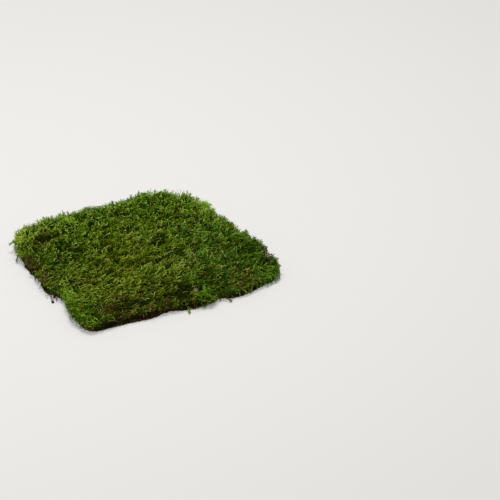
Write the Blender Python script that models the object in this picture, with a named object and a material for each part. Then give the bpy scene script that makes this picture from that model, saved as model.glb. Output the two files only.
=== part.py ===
# A mat of living sheet moss lifted from the ground in one piece: green shoots over a dark layer
# of old stems and humus, with a little litter caught in it.
# Units are metres, +Z is up, the origin is the middle of the underside, +X runs along the longer side.

import math
import random

import bmesh
import bpy
from mathutils import Vector, noise
from mathutils.bvhtree import BVHTree

MM = 0.001

# Driving heights over the ground and clearances.
TURF_LEVEL = 18.8 * MM        # shoot tips in the dips between the tufts, away from the rim
BELLY_LEVEL = 13.6 * MM       # where the side of the green layer stands out furthest
HUMUS_THICKNESS = 8.5 * MM    # dark layer of old stems, rhizoids and humus
LIP_LEVEL = 3.4 * MM          # how low the shoots of the rim hang where they aren't worn back
BARE_LIP_LEVEL = 9.9 * MM     # the same where they are, so that the humus shows
LOWEST_LIP = 1.2 * MM         # the rim never touches the ground
FIT_GAP = 0.3 * MM            # clearance between pieces that touch

# How far the top rolls down at the front, back and short edges, and how fast it does so.
FRONT_DROOP = 4.2 * MM
BACK_DROOP = 0.6 * MM
SIDE_DROOP = 2.6 * MM
DROOP_FADE = 6.0 * MM

# How far the underside and the humus layer stand back from the outline.
LIP_INSET = 2.3 * MM
UNDERSIDE_INSET = 5.4 * MM
HUMUS_INSET = 6.9 * MM
BARE_HUMUS_INSET = 2.9 * MM
HUMUS_TOP_INSET = 6.6 * MM

# Outline of the green tips, in mm, seen from above, as four sides that share their end points.
FRONT_SIDE = [(-137, -117), (-128, -122), (-98, -123), (-75, -125), (-51, -128), (-25, -127), (0, -132),
              (21, -137), (37, -135), (51, -130), (64, -135), (88, -134), (105, -129), (130, -127), (140, -119)]
RIGHT_SIDE = [(140, -119), (146, -93), (147, -68), (144, -42), (140, -16), (137, 6), (134, 24), (131, 42),
              (129, 60), (127, 80), (122, 96), (111, 108)]
BACK_SIDE = [(-139, 118), (-121, 129), (-92, 136), (-65, 138), (-38, 138), (-13, 136), (15, 137), (41, 135),
             (62, 138), (81, 132), (96, 120), (111, 108)]
LEFT_SIDE = [(-137, -117), (-143, -101), (-143, -84), (-141, -67), (-138, -50), (-138, -34), (-145, -20),
             (-149, -5), (-148, 12), (-149, 33), (-148, 50), (-150, 72), (-147, 92), (-139, 118)]

# Cells of the green layer's mesh along and across the mat, and of the humus layer's rim.
CARPET_CELLS = (56, 50)
HUMUS_CELLS = (42, 38)

# Tufts that stand proud of the turf, in mm.
TUFT_COUNT = 330
TUFT_RADIUS = (7.0, 12.0)
TUFT_RISE = (2.4, 6.0)

# Hollows that part the tufts: ends in mm, half width in mm and depth in mm.
FURROWS = [((-113, 93), (-77, 96), 5.0, 4.6),
           ((-96, 62), (-68, 55), 4.5, 5.4),
           ((22, 21), (33, 17), 5.5, 6.4),
           ((-117, -37), (-88, -41), 4.0, 3.6),
           ((-28, -110), (-6, -113), 6.0, 4.2),
           ((10, -109), (26, -111), 6.0, 4.0),
           ((-60, 10), (-20, 4), 3.5, 3.2),
           ((60, -70), (104, -82), 3.5, 3.2),
           ((66, 58), (96, 48), 4.0, 3.4),
           ((-52, -78), (-8, -74), 3.5, 3.0)]

# Stretches of the rim where the shoots are worn back and the humus shows: middle and half length in mm.
BARE_RIM = [((-82, -123), 50), ((0, -126), 18), ((84, -130), 34), ((-147, 52), 15), ((-148, 0), 15)]

# Tufts that hang out over the rim: place in mm, reach outward in mm and half width in mm.
HANGING_TUFTS = [((26, -135), 3.6, 11), ((-124, -117), 2.6, 12), ((-151, 88), 2.0, 12), ((111, 108), 1.4, 12),
                 ((146, -54), 1.6, 14), ((-60, 138), 1.8, 13), ((60, 139), 1.8, 14), ((-143, -84), 1.6, 12)]

# Litter on the moss, in mm: ends of each dry stalk with its thickness and bow, and the husk's place.
DRY_STALKS = [((88, -63), (91, -45), 0.9, 1.2),
              ((52, -43), (50, -32), 0.9, -0.6),
              ((17, -23), (33, -21), 0.9, 1.0)]
HUSK_PLACE = (18, -116.5)
HUSK_FACING = (-0.30, -0.57, 0.76)
HUSK_RADIUS = 3.2 * MM
HUSK_HALF_HEIGHT = 1.1 * MM

SEED = 41


def remove_all_objects():
    for old in list(bpy.data.objects):
        bpy.data.objects.remove(old, do_unlink=True)


def principled(name, colour, roughness):
    """A plain material in the part's own colour."""
    material = bpy.data.materials.new(name)
    material.use_nodes = True
    shader = material.node_tree.nodes["Principled BSDF"]
    shader.inputs["Base Color"].default_value = (*colour, 1.0)
    shader.inputs["Roughness"].default_value = roughness
    shader.inputs["Metallic"].default_value = 0.0
    return material


def new_object(name, shape, material):
    """Turns a finished bmesh into a named object with its faces pointing outwards."""
    bmesh.ops.recalc_face_normals(shape, faces=shape.faces)
    mesh = bpy.data.meshes.new(name)
    shape.to_mesh(mesh)
    shape.free()
    mesh.materials.append(material)
    mesh.shade_smooth()
    mesh.set_sharp_from_angle(angle=math.radians(60))
    piece = bpy.data.objects.new(name, mesh)
    bpy.context.collection.objects.link(piece)
    return piece


def ripple(point, wave, layer):
    """Smooth noise from about -1 to 1 over places in metres, for a wavelength in mm."""
    return noise.noise(Vector((point.x / (wave * MM), point.y / (wave * MM), layer)))


def spline_point(points, place):
    """A point on the smooth curve through a list of points; place runs from 0 to the last index."""
    index = min(int(place), len(points) - 2)
    part = place - index
    before = points[max(index - 1, 0)]
    start = points[index]
    end = points[index + 1]
    after = points[min(index + 2, len(points) - 1)]
    return 0.5 * (2.0 * start + (end - before) * part
                  + (2.0 * before - 5.0 * start + 4.0 * end - after) * part ** 2
                  + (3.0 * start - before - 3.0 * end + after) * part ** 3)


def even_side(side, cells):
    """A side of the outline as cells + 1 evenly spaced points in metres."""
    corners = [Vector(point) * MM for point in side]
    fine_steps = 24 * (len(corners) - 1)
    fine = [spline_point(corners, (len(corners) - 1) * step / fine_steps) for step in range(fine_steps + 1)]
    travelled = [0.0]
    for first, second in zip(fine, fine[1:]):
        travelled.append(travelled[-1] + (second - first).length)
    points = []
    index = 0
    for cell in range(cells + 1):
        wanted = travelled[-1] * cell / cells
        while index < fine_steps - 1 and travelled[index + 1] < wanted:
            index += 1
        part = (wanted - travelled[index]) / (travelled[index + 1] - travelled[index])
        points.append(fine[index].lerp(fine[index + 1], min(part, 1.0)))
    return points


def outline_loop(cells):
    """The outline as one loop of points, anticlockwise from the front left corner."""
    along, across = cells
    front = even_side(FRONT_SIDE, along)
    right = even_side(RIGHT_SIDE, across)
    back = even_side(BACK_SIDE, along)[::-1]
    left = even_side(LEFT_SIDE, across)[::-1]
    return front[:-1] + right[:-1] + back[:-1] + left[:-1]


def outward(loop):
    """Unit vectors that point out of the loop, taken over a few neighbours so that they turn slowly."""
    normals = []
    for index in range(len(loop)):
        along = loop[(index + 3) % len(loop)] - loop[index - 3]
        normals.append(Vector((along.y, -along.x)).normalized())
    return normals


def bump(distance, reach):
    """A smooth weight from 1 at no distance to 0 at the reach."""
    part = min(distance / reach, 1.0)
    return (1.0 - part * part) ** 2


def distance_to_line(place, start, end):
    """Distance in mm from a place to a line between two others."""
    line = Vector(end) - Vector(start)
    offset = place - Vector(start)
    part = max(0.0, min(1.0, offset.dot(line) / line.length_squared))
    return (offset - line * part).length


def tuft_domes():
    """Places, radii and heights, in mm, of the tufts."""
    draw = random.Random(SEED)
    domes = []
    for _ in range(TUFT_COUNT):
        domes.append((draw.uniform(-150, 150), draw.uniform(-135, 135),
                      draw.uniform(*TUFT_RADIUS), draw.uniform(*TUFT_RISE)))
    return domes


def turf_height(point, domes):
    """Height of the shoot tips over a place: slow swells, ridges combed along the mat, tufts and furrows."""
    x, y = point / MM
    height = TURF_LEVEL / MM
    height += 2.4 * noise.noise(Vector((x / 74, y / 58, 3.0)))
    height += 1.5 * noise.noise(Vector((x / 30, y / 11, 8.0)))
    height += 1.1 * noise.noise(Vector((x / 9, y / 7, 14.0)))
    rise = 0.0
    for dome_x, dome_y, radius, proud in domes:
        gap = math.hypot(0.75 * (x - dome_x), y - dome_y)
        if gap < radius:
            rise = max(rise, proud * bump(gap, radius))
    height += rise
    for start, end, half_width, depth in FURROWS:
        height -= depth * bump(distance_to_line(point / MM, start, end), 2.0 * half_width)
    return height * MM


def rim_bareness(point):
    """How far the shoots are worn back at a place on the rim, from 0 to 1."""
    bare = 0.0
    for middle, half_length in BARE_RIM:
        gap = (point / MM - Vector(middle)).length
        bare = max(bare, min(1.0, 2.2 * bump(gap, 1.25 * half_length)))
    return bare


def rim_reach(point):
    """How far a hanging tuft stands out at a place on the rim."""
    reach = 0.0
    for middle, proud, half_width in HANGING_TUFTS:
        gap = (point / MM - Vector(middle)).length
        reach = max(reach, proud * bump(gap, 1.5 * half_width))
    return reach * MM


def stand_out(point):
    """How far the ragged rim stands out of the outline: the edge's tufts come forward by turns."""
    return rim_reach(point) + (2.2 * ripple(point, 8.5, 21.0) + 1.2 * ripple(point, 23.0, 5.0) - 1.6) * MM


def belly_reach(point):
    """The same lower down, where the side's own tufts swell."""
    return stand_out(point) + (1.2 + 1.6 * ripple(point, 6.5, 44.0)) * MM


def lip_level(point):
    """How low the shoots hang at a place on the rim."""
    bare = rim_bareness(point)
    hanging = LIP_LEVEL + 1.5 * MM * ripple(point, 7.0, 31.0)
    level = hanging * (1.0 - bare) + BARE_LIP_LEVEL * bare - min(1.6 * MM, rim_reach(point))
    return max(level, LOWEST_LIP)


def add_ring(shape, loop, heights):
    return [shape.verts.new((point.x, point.y, height)) for point, height in zip(loop, heights)]


def join_rings(shape, upper, lower):
    for index in range(len(upper)):
        after = (index + 1) % len(upper)
        shape.faces.new((upper[index], lower[index], lower[after], upper[after]))


def edge_droop(to_edge, most):
    """How far the top has rolled down at a distance from one of its edges."""
    return most * math.exp(-to_edge / DROOP_FADE)


def turf_grid(shape, rim):
    """The tufted top: a patch blended between the four sides of the rim. Returns its outer vertices in order."""
    along, across = CARPET_CELLS
    front = rim[:along + 1]
    right = rim[along:along + across + 1]
    back = rim[along + across:2 * along + across + 1][::-1]
    left = (rim[2 * along + across:] + rim[:1])[::-1]
    domes = tuft_domes()
    cell = (front[-1] - front[0]).length / along
    rows = []
    for row in range(across + 1):
        v = row / across
        line = []
        for column in range(along + 1):
            u = column / along
            sides = front[column] * (1 - v) + back[column] * v + left[row] * (1 - u) + right[row] * u
            corners = (front[0] * (1 - u) * (1 - v) + front[-1] * u * (1 - v)
                       + back[0] * (1 - u) * v + back[-1] * u * v)
            place = sides - corners
            droop = (edge_droop(cell * row, FRONT_DROOP) + edge_droop(cell * (across - row), BACK_DROOP)
                     + edge_droop(cell * min(column, along - column), SIDE_DROOP))
            line.append(shape.verts.new((place.x, place.y, turf_height(place, domes) - droop)))
        rows.append(line)
    for lower, upper in zip(rows, rows[1:]):
        for column in range(along):
            shape.faces.new((lower[column], lower[column + 1], upper[column + 1], upper[column]))
    right_verts = [line[-1] for line in rows]
    left_verts = [line[0] for line in reversed(rows)]
    return rows[0][:-1] + right_verts[:-1] + rows[-1][::-1][:-1] + left_verts[:-1]


def moss_carpet(material):
    """The green layer: the tufted top, a ragged side, and a lip that hangs round the humus."""
    loop = outline_loop(CARPET_CELLS)
    normals = outward(loop)
    places = list(zip(loop, normals))
    shape = bmesh.new()
    rim = turf_grid(shape, [point + normal * stand_out(point) for point, normal in places])
    lips = [lip_level(point) for point in loop]
    rings = [rim,
             add_ring(shape, [point + normal * belly_reach(point) for point, normal in places],
                      [BELLY_LEVEL + 2.4 * MM * ripple(point, 9.0, 52.0) for point in loop]),
             add_ring(shape, [point + normal * (0.8 * stand_out(point)) for point, normal in places],
                      [0.6 * lip + 0.4 * BELLY_LEVEL for lip in lips]),
             add_ring(shape, [point - normal * LIP_INSET for point, normal in places], lips),
             add_ring(shape, [point - normal * UNDERSIDE_INSET for point, normal in places],
                      [HUMUS_THICKNESS + FIT_GAP] * len(loop))]
    for upper, lower in zip(rings, rings[1:]):
        join_rings(shape, upper, lower)
    shape.faces.new(rings[-1])
    return new_object("moss_carpet", shape, material)


def humus_layer(material):
    """The dark slab under the shoots, flat below. Its crumbling side comes forward where the rim is bare."""
    loop = outline_loop(HUMUS_CELLS)
    normals = outward(loop)
    shape = bmesh.new()
    rings = []
    for level, drawn_in in ((0.0, 0.9), (2.4, 0.0), (5.6, 0.3), (HUMUS_THICKNESS / MM, 0.9)):
        ring = []
        for point, normal in zip(loop, normals):
            bare = rim_bareness(point)
            inset = HUMUS_INSET * (1.0 - bare) + BARE_HUMUS_INSET * bare
            inset += (drawn_in * (0.6 + bare) + 0.6 * ripple(point, 5.0, level)) * MM
            if level > 5.0:
                inset = max(inset, HUMUS_TOP_INSET)
            ring.append(point - normal * inset)
        rings.append(add_ring(shape, ring, [level * MM] * len(loop)))
    for lower, upper in zip(rings, rings[1:]):
        join_rings(shape, upper, lower)
    shape.faces.new(rings[0])
    shape.faces.new(rings[-1])
    return new_object("humus_layer", shape, material)


def rest_level(turf, places, radius):
    """The lowest level at which a thin piece over these places clears the turf."""
    level = 0.0
    for place in places:
        for side_x in (-radius, 0.0, radius):
            for side_y in (-radius, 0.0, radius):
                above = Vector((place.x + side_x, place.y + side_y, 1.0))
                level = max(level, turf.ray_cast(above, Vector((0.0, 0.0, -1.0)))[0].z)
    return level + FIT_GAP


def dry_stalk(name, stalk, turf, material):
    """A dead grass stalk that lies on the tufts: a tapered six-sided rod, slightly bowed."""
    sides = 6
    steps = 7
    start, end, thickness, bow = stalk
    first = Vector(start) * MM
    last = Vector(end) * MM
    butt_radius = 0.5 * thickness * MM
    across = Vector((first.y - last.y, last.x - first.x)).normalized()
    middles = []
    for step in range(steps + 1):
        part = step / steps
        middles.append(first.lerp(last, part) + across * bow * MM * math.sin(math.pi * part))
    level = rest_level(turf, middles, butt_radius) + butt_radius
    shape = bmesh.new()
    rings = []
    for step, middle in enumerate(middles):
        radius = butt_radius * (1.0 - 0.45 * step / steps)
        angles = [2.0 * math.pi * side / sides for side in range(sides)]
        rings.append(add_ring(shape, [middle + across * radius * math.cos(angle) for angle in angles],
                              [level + radius * math.sin(angle) for angle in angles]))
    for ring, after in zip(rings, rings[1:]):
        join_rings(shape, ring, after)
    shape.faces.new(rings[0])
    shape.faces.new(rings[-1])
    return new_object(name, shape, material)


def seed_husk(turf, material):
    """A papery husk: a shallow lens that leans on the front tufts and faces up and to the front."""
    place = Vector(HUSK_PLACE) * MM
    leaning = Vector((0.0, 0.0, 1.0)).rotation_difference(Vector(HUSK_FACING))
    shape = bmesh.new()
    bmesh.ops.create_uvsphere(shape, u_segments=12, v_segments=6, radius=HUSK_RADIUS)
    for vert in shape.verts:
        x, y, z = vert.co
        vert.co = leaning @ Vector((x, 0.9 * y, z * HUSK_HALF_HEIGHT / HUSK_RADIUS)) + place.to_3d()
    level = FIT_GAP + max(turf.ray_cast(Vector((vert.co.x, vert.co.y, 1.0)), Vector((0.0, 0.0, -1.0)))[0].z
                          - vert.co.z for vert in shape.verts)
    for vert in shape.verts:
        vert.co.z += level
    return new_object("seed_husk", shape, material)


def centre_over_origin(pieces):
    """Shifts all the pieces together, so that the origin is under the middle of the mat."""
    places = [vert.co for piece in pieces for vert in piece.data.vertices]
    middle_x = 0.5 * (min(place.x for place in places) + max(place.x for place in places))
    middle_y = 0.5 * (min(place.y for place in places) + max(place.y for place in places))
    for piece in pieces:
        piece.location = (-middle_x, -middle_y, 0.0)


def main():
    remove_all_objects()
    green = principled("moss_green", (0.060, 0.105, 0.012), 0.80)
    brown = principled("humus_brown", (0.038, 0.024, 0.012), 0.95)
    straw = principled("straw_pale", (0.42, 0.38, 0.22), 0.65)
    husk = principled("husk_pink", (0.44, 0.31, 0.19), 0.60)
    carpet = moss_carpet(green)
    pieces = [carpet, humus_layer(brown)]
    turf = BVHTree.FromObject(carpet, bpy.context.evaluated_depsgraph_get())
    for number, stalk in enumerate(DRY_STALKS, start=1):
        pieces.append(dry_stalk(f"dry_stalk_{number}", stalk, turf, straw))
    pieces.append(seed_husk(turf, husk))
    centre_over_origin(pieces)


main()
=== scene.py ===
# The looks of a mat of sheet moss: a dark crumbling layer of humus and old stems, a carpet of leafy
# shoots combed over it, and a little dry litter, on a pale table in soft light.

import math

import bpy
import numpy as np
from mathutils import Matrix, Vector, noise
from mathutils.bvhtree import BVHTree


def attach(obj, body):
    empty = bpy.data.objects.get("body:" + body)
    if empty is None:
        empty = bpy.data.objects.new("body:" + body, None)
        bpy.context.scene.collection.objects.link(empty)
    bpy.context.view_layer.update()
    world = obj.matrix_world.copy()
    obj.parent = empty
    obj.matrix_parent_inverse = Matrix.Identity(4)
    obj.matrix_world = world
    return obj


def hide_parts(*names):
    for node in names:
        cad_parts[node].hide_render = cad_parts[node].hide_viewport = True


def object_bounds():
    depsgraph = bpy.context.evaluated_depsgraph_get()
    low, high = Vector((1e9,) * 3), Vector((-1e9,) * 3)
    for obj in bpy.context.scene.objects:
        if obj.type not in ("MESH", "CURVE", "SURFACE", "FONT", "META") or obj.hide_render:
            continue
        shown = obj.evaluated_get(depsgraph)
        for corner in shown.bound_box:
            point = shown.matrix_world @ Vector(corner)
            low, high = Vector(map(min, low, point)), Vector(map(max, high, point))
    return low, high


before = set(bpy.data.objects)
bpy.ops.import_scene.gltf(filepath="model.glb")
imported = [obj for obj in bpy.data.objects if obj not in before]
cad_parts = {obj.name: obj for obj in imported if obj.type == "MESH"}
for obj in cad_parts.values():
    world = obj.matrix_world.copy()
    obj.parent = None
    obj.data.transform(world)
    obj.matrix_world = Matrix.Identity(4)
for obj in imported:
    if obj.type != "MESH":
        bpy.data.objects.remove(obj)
cad_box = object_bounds()

MM = 0.001
# Nothing that was loaded stays selected, so edit mode works on one piece at a time.
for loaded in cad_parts.values():
    loaded.select_set(False)


# Table, light and camera
# The mat lies on a plain pale table that glows a little, under wide soft light from above, and is seen
# from the front left through a long lens, at 32 degrees above the table.

def place_table():
    bpy.ops.mesh.primitive_plane_add(size=8.0, location=(0.0, 0.0, -0.0002))
    table = bpy.context.object
    table.name = "table"
    paint = bpy.data.materials.new("table_white")
    paint.use_nodes = True
    shader = paint.node_tree.nodes["Principled BSDF"]
    shader.inputs["Base Color"].default_value = (0.445, 0.438, 0.431, 1.0)
    shader.inputs["Emission Color"].default_value = (1.0, 0.985, 0.97, 1.0)
    shader.inputs["Emission Strength"].default_value = 0.30
    shader.inputs["Roughness"].default_value = 0.9
    shader.inputs["Specular IOR Level"].default_value = 0.0
    table.data.materials.append(paint)


def light_studio():
    world = bpy.data.worlds.new("studio")
    bpy.context.scene.world = world
    world.use_nodes = True
    sky = world.node_tree.nodes["Background"]
    sky.inputs["Color"].default_value = (1.0, 0.995, 0.99, 1.0)
    sky.inputs["Strength"].default_value = 0.36
    lamp = bpy.data.lights.new("soft_box", "AREA")
    lamp.shape = "RECTANGLE"
    lamp.size = 1.1
    lamp.size_y = 0.9
    lamp.energy = 76.0
    lamp.color = (1.0, 0.985, 0.965)
    holder = bpy.data.objects.new("soft_box", lamp)
    bpy.context.collection.objects.link(holder)
    holder.location = (-0.30, -0.30, 2.4)
    aim = Vector((0.1, 2.65, 0.0))
    holder.rotation_euler = (aim - holder.location).to_track_quat("-Z", "Y").to_euler()
    bpy.context.scene.view_settings.view_transform = "Standard"


def place_camera():
    azimuth = math.radians(-28.0)
    elevation = math.radians(32.0)
    distance = 2.6
    target = Vector((0.1391, -0.0373, 0.0))
    back = Vector((math.sin(azimuth) * math.cos(elevation), -math.cos(azimuth) * math.cos(elevation),
                   math.sin(elevation)))
    lens = bpy.data.cameras.new("camera")
    lens.lens = 139.0
    lens.sensor_width = 36.0
    camera = bpy.data.objects.new("camera", lens)
    bpy.context.collection.objects.link(camera)
    camera.location = target + back * distance
    camera.rotation_euler = back.to_track_quat("Z", "Y").to_euler()
    bpy.context.scene.camera = camera


place_table()
light_studio()
place_camera()


# Humus layer
# A dark slab of old brown stems, rhizoids and crumbs of soil that holds the mat together. It is flat
# below and crumbles along its sides, which show under the green at the front.

def copy_of_node(node, name):
    """A copy of a CAD node as a new piece, with its loose triangles merged."""
    bpy.ops.object.select_all(action="DESELECT")
    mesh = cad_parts[node].data.copy()
    mesh.materials.clear()
    piece = bpy.data.objects.new(name, mesh)
    mesh.name = name
    bpy.context.collection.objects.link(piece)
    bpy.context.view_layer.objects.active = piece
    piece.select_set(True)
    bpy.ops.object.mode_set(mode="EDIT")
    bpy.ops.mesh.select_all(action="SELECT")
    bpy.ops.mesh.remove_doubles(threshold=0.00002)
    bpy.ops.mesh.normals_make_consistent(inside=False)
    bpy.ops.object.mode_set(mode="OBJECT")
    return piece


def subdivide_side(piece, cuts):
    """Takes the flat faces off and cuts the steep band between them finer."""
    bpy.context.view_layer.objects.active = piece
    bpy.ops.object.mode_set(mode="EDIT")
    bpy.ops.mesh.select_mode(type="FACE")
    bpy.ops.mesh.select_all(action="DESELECT")
    bpy.ops.object.mode_set(mode="OBJECT")
    for face in piece.data.polygons:
        face.select = abs(face.normal.z) > 0.8
    bpy.ops.object.mode_set(mode="EDIT")
    bpy.ops.mesh.delete(type="FACE")
    bpy.ops.mesh.select_all(action="SELECT")
    bpy.ops.mesh.subdivide(number_cuts=cuts)
    bpy.ops.object.mode_set(mode="OBJECT")


def close_ends(piece):
    """Closes the band's open top and bottom with a flat fan of faces each."""
    bpy.context.view_layer.objects.active = piece
    bpy.ops.object.mode_set(mode="EDIT")
    bpy.ops.mesh.select_all(action="SELECT")
    bpy.ops.mesh.fill_holes(sides=0)
    bpy.ops.mesh.select_all(action="DESELECT")
    bpy.ops.mesh.select_face_by_sides(number=4, type="GREATER")
    bpy.ops.mesh.poke()
    bpy.ops.mesh.select_all(action="SELECT")
    bpy.ops.mesh.normals_make_consistent(inside=False)
    bpy.ops.object.mode_set(mode="OBJECT")


def crumble(piece, lump_size, grain_size, rough):
    """Pushes the points between the slab's flat faces in and out by lumps and grains, all in mm."""
    outwards = [vert.normal.copy() for vert in piece.data.vertices]
    for vert, out in zip(piece.data.vertices, outwards):
        place = vert.co / MM
        if 0.2 < place.z < 8.3:
            lumps = noise.noise(place / lump_size + Vector((0, 0, 40)))
            grains = noise.noise(place / grain_size + Vector((0, 0, 90)))
            pushed = vert.co + out * (lumps + 0.55 * grains) * rough * MM
            vert.co = (pushed.x, pushed.y, max(pushed.z, 0.1 * MM))


def dull_material(name, roughness, gloss=0.0):
    """A new material, with its nodes, links and shader."""
    material = bpy.data.materials.new(name)
    material.use_nodes = True
    nodes = material.node_tree.nodes
    shader = nodes["Principled BSDF"]
    shader.inputs["Roughness"].default_value = roughness
    shader.inputs["Specular IOR Level"].default_value = gloss
    return material, nodes, material.node_tree.links, shader


def colour_ramp(nodes, stops):
    """A colour ramp from its stops in order, each a position and a colour."""
    ramp = nodes.new("ShaderNodeValToRGB")
    elements = ramp.color_ramp.elements
    for element, (position, colour) in zip(elements, (stops[0], stops[-1])):
        element.position = position
        element.color = (*colour, 1.0)
    for position, colour in stops[1:-1]:
        elements.new(position).color = (*colour, 1.0)
    return ramp


def mottled_finish(name, roughness, gloss, mottle_numbers, stops, relief=None):
    """Plant matter or soil, mottled from dark to pale.

    mottle_numbers are the noise's scale, detail and roughness. relief, where there is any, is the strength
    and the height in metres of the bumps, which follow the same noise."""
    material, nodes, links, shader = dull_material(name, roughness, gloss)
    place = nodes.new("ShaderNodeTexCoord")
    mottle = nodes.new("ShaderNodeTexNoise")
    for socket, value in zip(("Scale", "Detail", "Roughness"), mottle_numbers):
        mottle.inputs[socket].default_value = value
    tint = colour_ramp(nodes, stops)
    links.new(place.outputs["Object"], mottle.inputs["Vector"])
    links.new(mottle.outputs["Fac"], tint.inputs["Fac"])
    links.new(tint.outputs["Color"], shader.inputs["Base Color"])
    if relief:
        bumps = nodes.new("ShaderNodeBump")
        bumps.inputs["Strength"].default_value, bumps.inputs["Distance"].default_value = relief
        links.new(mottle.outputs["Fac"], bumps.inputs["Height"])
        links.new(bumps.outputs["Normal"], shader.inputs["Normal"])
    return material


humus_slab = copy_of_node("humus_layer", "humus_slab")
subdivide_side(humus_slab, 3)
crumble(humus_slab, 4.5, 1.3, 1.7)
close_ends(humus_slab)
humus_slab.data.materials.append(mottled_finish(
    "humus_crumbs", 0.92, 0.0, (420.0, 6.0, 0.65),
    ((0.32, (0.007, 0.005, 0.001)), (0.52, (0.024, 0.017, 0.004)), (0.72, (0.078, 0.053, 0.014))),
    (0.8, 0.0008)))
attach(humus_slab, "root")
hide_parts("humus_layer")


# Moss core
# The dark inside of the green layer: packed old shoots that the light hardly reaches. It fills the mat
# under the living shoots, so nothing shows through the gaps between them.

def draw_in_core(piece, depth):
    """Takes the copy of the carpet in from the tips: narrower all round, lower on top by a depth in mm.

    Its side keeps its height up to 9 mm, and from 15 mm up it is lowered by the whole depth."""
    for vert in piece.data.vertices:
        x, y, z = vert.co
        lowered = depth * MM * max(0.0, min(1.0, (z - 9.0 * MM) / (6.0 * MM)))
        bumps = 0.8 * MM * noise.noise(vert.co / (4.0 * MM))
        vert.co = (x * 0.974, y * 0.972, max(z - lowered + bumps, 1.6 * MM))


moss_core = copy_of_node("moss_carpet", "moss_core")
draw_in_core(moss_core, 3.6)
# The core's near-black colours are painted shade: they stand for the dark deep inside the mat.
moss_core.data.materials.append(mottled_finish(
    "moss_shade", 1.0, 0.0, (300.0, 4.0, 0.5),
    ((0.35, (0.004, 0.007, 0.0005)), (0.70, (0.014, 0.022, 0.001)))))
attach(moss_core, "root")
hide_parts("moss_carpet")


# Living shoots
# Each shoot of sheet moss is a thin stem clad in pointed, folded leaves, with a side shoot or two and a
# small star of open leaves at its tip. The shoots lie over one another, combed along the mat.

def stem_faces(first, rings):
    """The faces round a stem of three sides, from the number of its first point."""
    faces = []
    for ring in range(rings - 1):
        for side in range(3):
            here = first + 3 * ring + side
            beside = first + 3 * ring + (side + 1) % 3
            faces += [(here, beside, beside + 3), (here, beside + 3, here + 3)]
    return faces


def leafy_pattern(leaves, leaf_length, opening, star, stem_rings, seed):
    """One shoot's leaves and stem, still to be laid along a curve.

    leaf_length is in mm, opening the range of angles between leaf and stem, star the number of tip leaves.
    Each point has a place along the stem, a reach forward and out in mm, an angle round the stem, and two
    places in the colour map: its hue and how near the lit tip it is. The faces are triangles."""
    golden_turn = 2.39996
    leaf_fold = 0.85
    draw = np.random.default_rng(seed)
    points = []
    faces = []

    def add_leaf(along, turn, length, slant):
        first = len(points)
        forward = length * math.cos(slant)
        out = length * math.sin(slant)
        lit = 0.06 + 0.80 * along
        points.append((along, -0.1 * forward, 0.06, turn, 0.0, lit))
        points.append((along, 0.42 * forward, 0.22 + 0.5 * out, turn - leaf_fold, -0.005, lit + 0.03))
        points.append((along, 0.42 * forward, 0.22 + 0.5 * out, turn + leaf_fold, 0.005, lit + 0.03))
        points.append((along, forward, 0.10 + out, turn, 0.0, lit + 0.08))
        faces.append((first, first + 1, first + 3))
        faces.append((first, first + 3, first + 2))

    for number in range(leaves):
        along = 0.05 + 0.92 * (number + 0.5) / leaves
        turn = number * golden_turn + draw.uniform(-0.3, 0.3)
        add_leaf(along, turn, leaf_length * draw.uniform(0.8, 1.2), draw.uniform(*opening))
    for number in range(star):
        turn = 2.0 * math.pi * number / star + draw.uniform(-0.3, 0.3)
        add_leaf(0.97, turn, leaf_length * draw.uniform(0.8, 1.1), draw.uniform(0.35, 0.75))
    first = len(points)
    for ring in range(stem_rings):
        along = ring / (stem_rings - 1)
        for side in range(3):
            points.append((along, 0.0, 0.26 - 0.10 * along, side * 2.0 * math.pi / 3.0, 0.004 * side,
                           0.04 + 0.80 * along))
    return np.array(points), np.array(faces + stem_faces(first, stem_rings))


def unit(vectors):
    return vectors / np.maximum(np.linalg.norm(vectors, axis=-1, keepdims=True), 1e-12)


def curve_place(root, middle, tip, t):
    """The place at t, from 0 at the root to 1 at the tip, on the curve that the middle point bends."""
    return (1 - t) ** 2 * root + 2 * t * (1 - t) * middle + t ** 2 * tip


def lay_shoots(pattern, shoots):
    """Lays a pattern along the curves of many shoots. Returns the points, faces and colour places."""
    points, faces = pattern
    root, middle, tip = (shoots[key][:, None, :] for key in ("root", "middle", "tip"))
    length = np.linalg.norm(middle - root, axis=-1) + np.linalg.norm(tip - middle, axis=-1)
    size = shoots["size"][:, None]
    t = points[None, :, 0] + points[None, :, 1] * MM * size / length
    t = t[..., None]
    place = curve_place(root, middle, tip, t)
    ahead = unit((1 - t) * (middle - root) + t * (tip - middle))
    side = unit(np.cross(ahead, shoots["up"][:, None, :]))
    over = np.cross(side, ahead)
    turn = points[None, :, 3] + shoots["twist"][:, None]
    reach = (points[None, :, 2] * MM * size)[..., None]
    place = place + reach * (np.cos(turn)[..., None] * side + 0.55 * np.sin(turn)[..., None] * over)
    lowest, highest = 0.4 * MM, cad_box[1][2] + 0.6 * MM
    place[..., 2] = np.clip(place[..., 2], lowest, highest)
    count = len(shoots["size"])
    corners = faces[None] + (np.arange(count) * len(points))[:, None, None]
    hue = shoots["hue"][:, None] + points[None, :, 4]
    lit = np.broadcast_to(points[None, :, 5], hue.shape)
    return place.reshape(-1, 3), corners.reshape(-1, 3), np.stack([hue, lit], -1).reshape(-1, 2)


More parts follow.
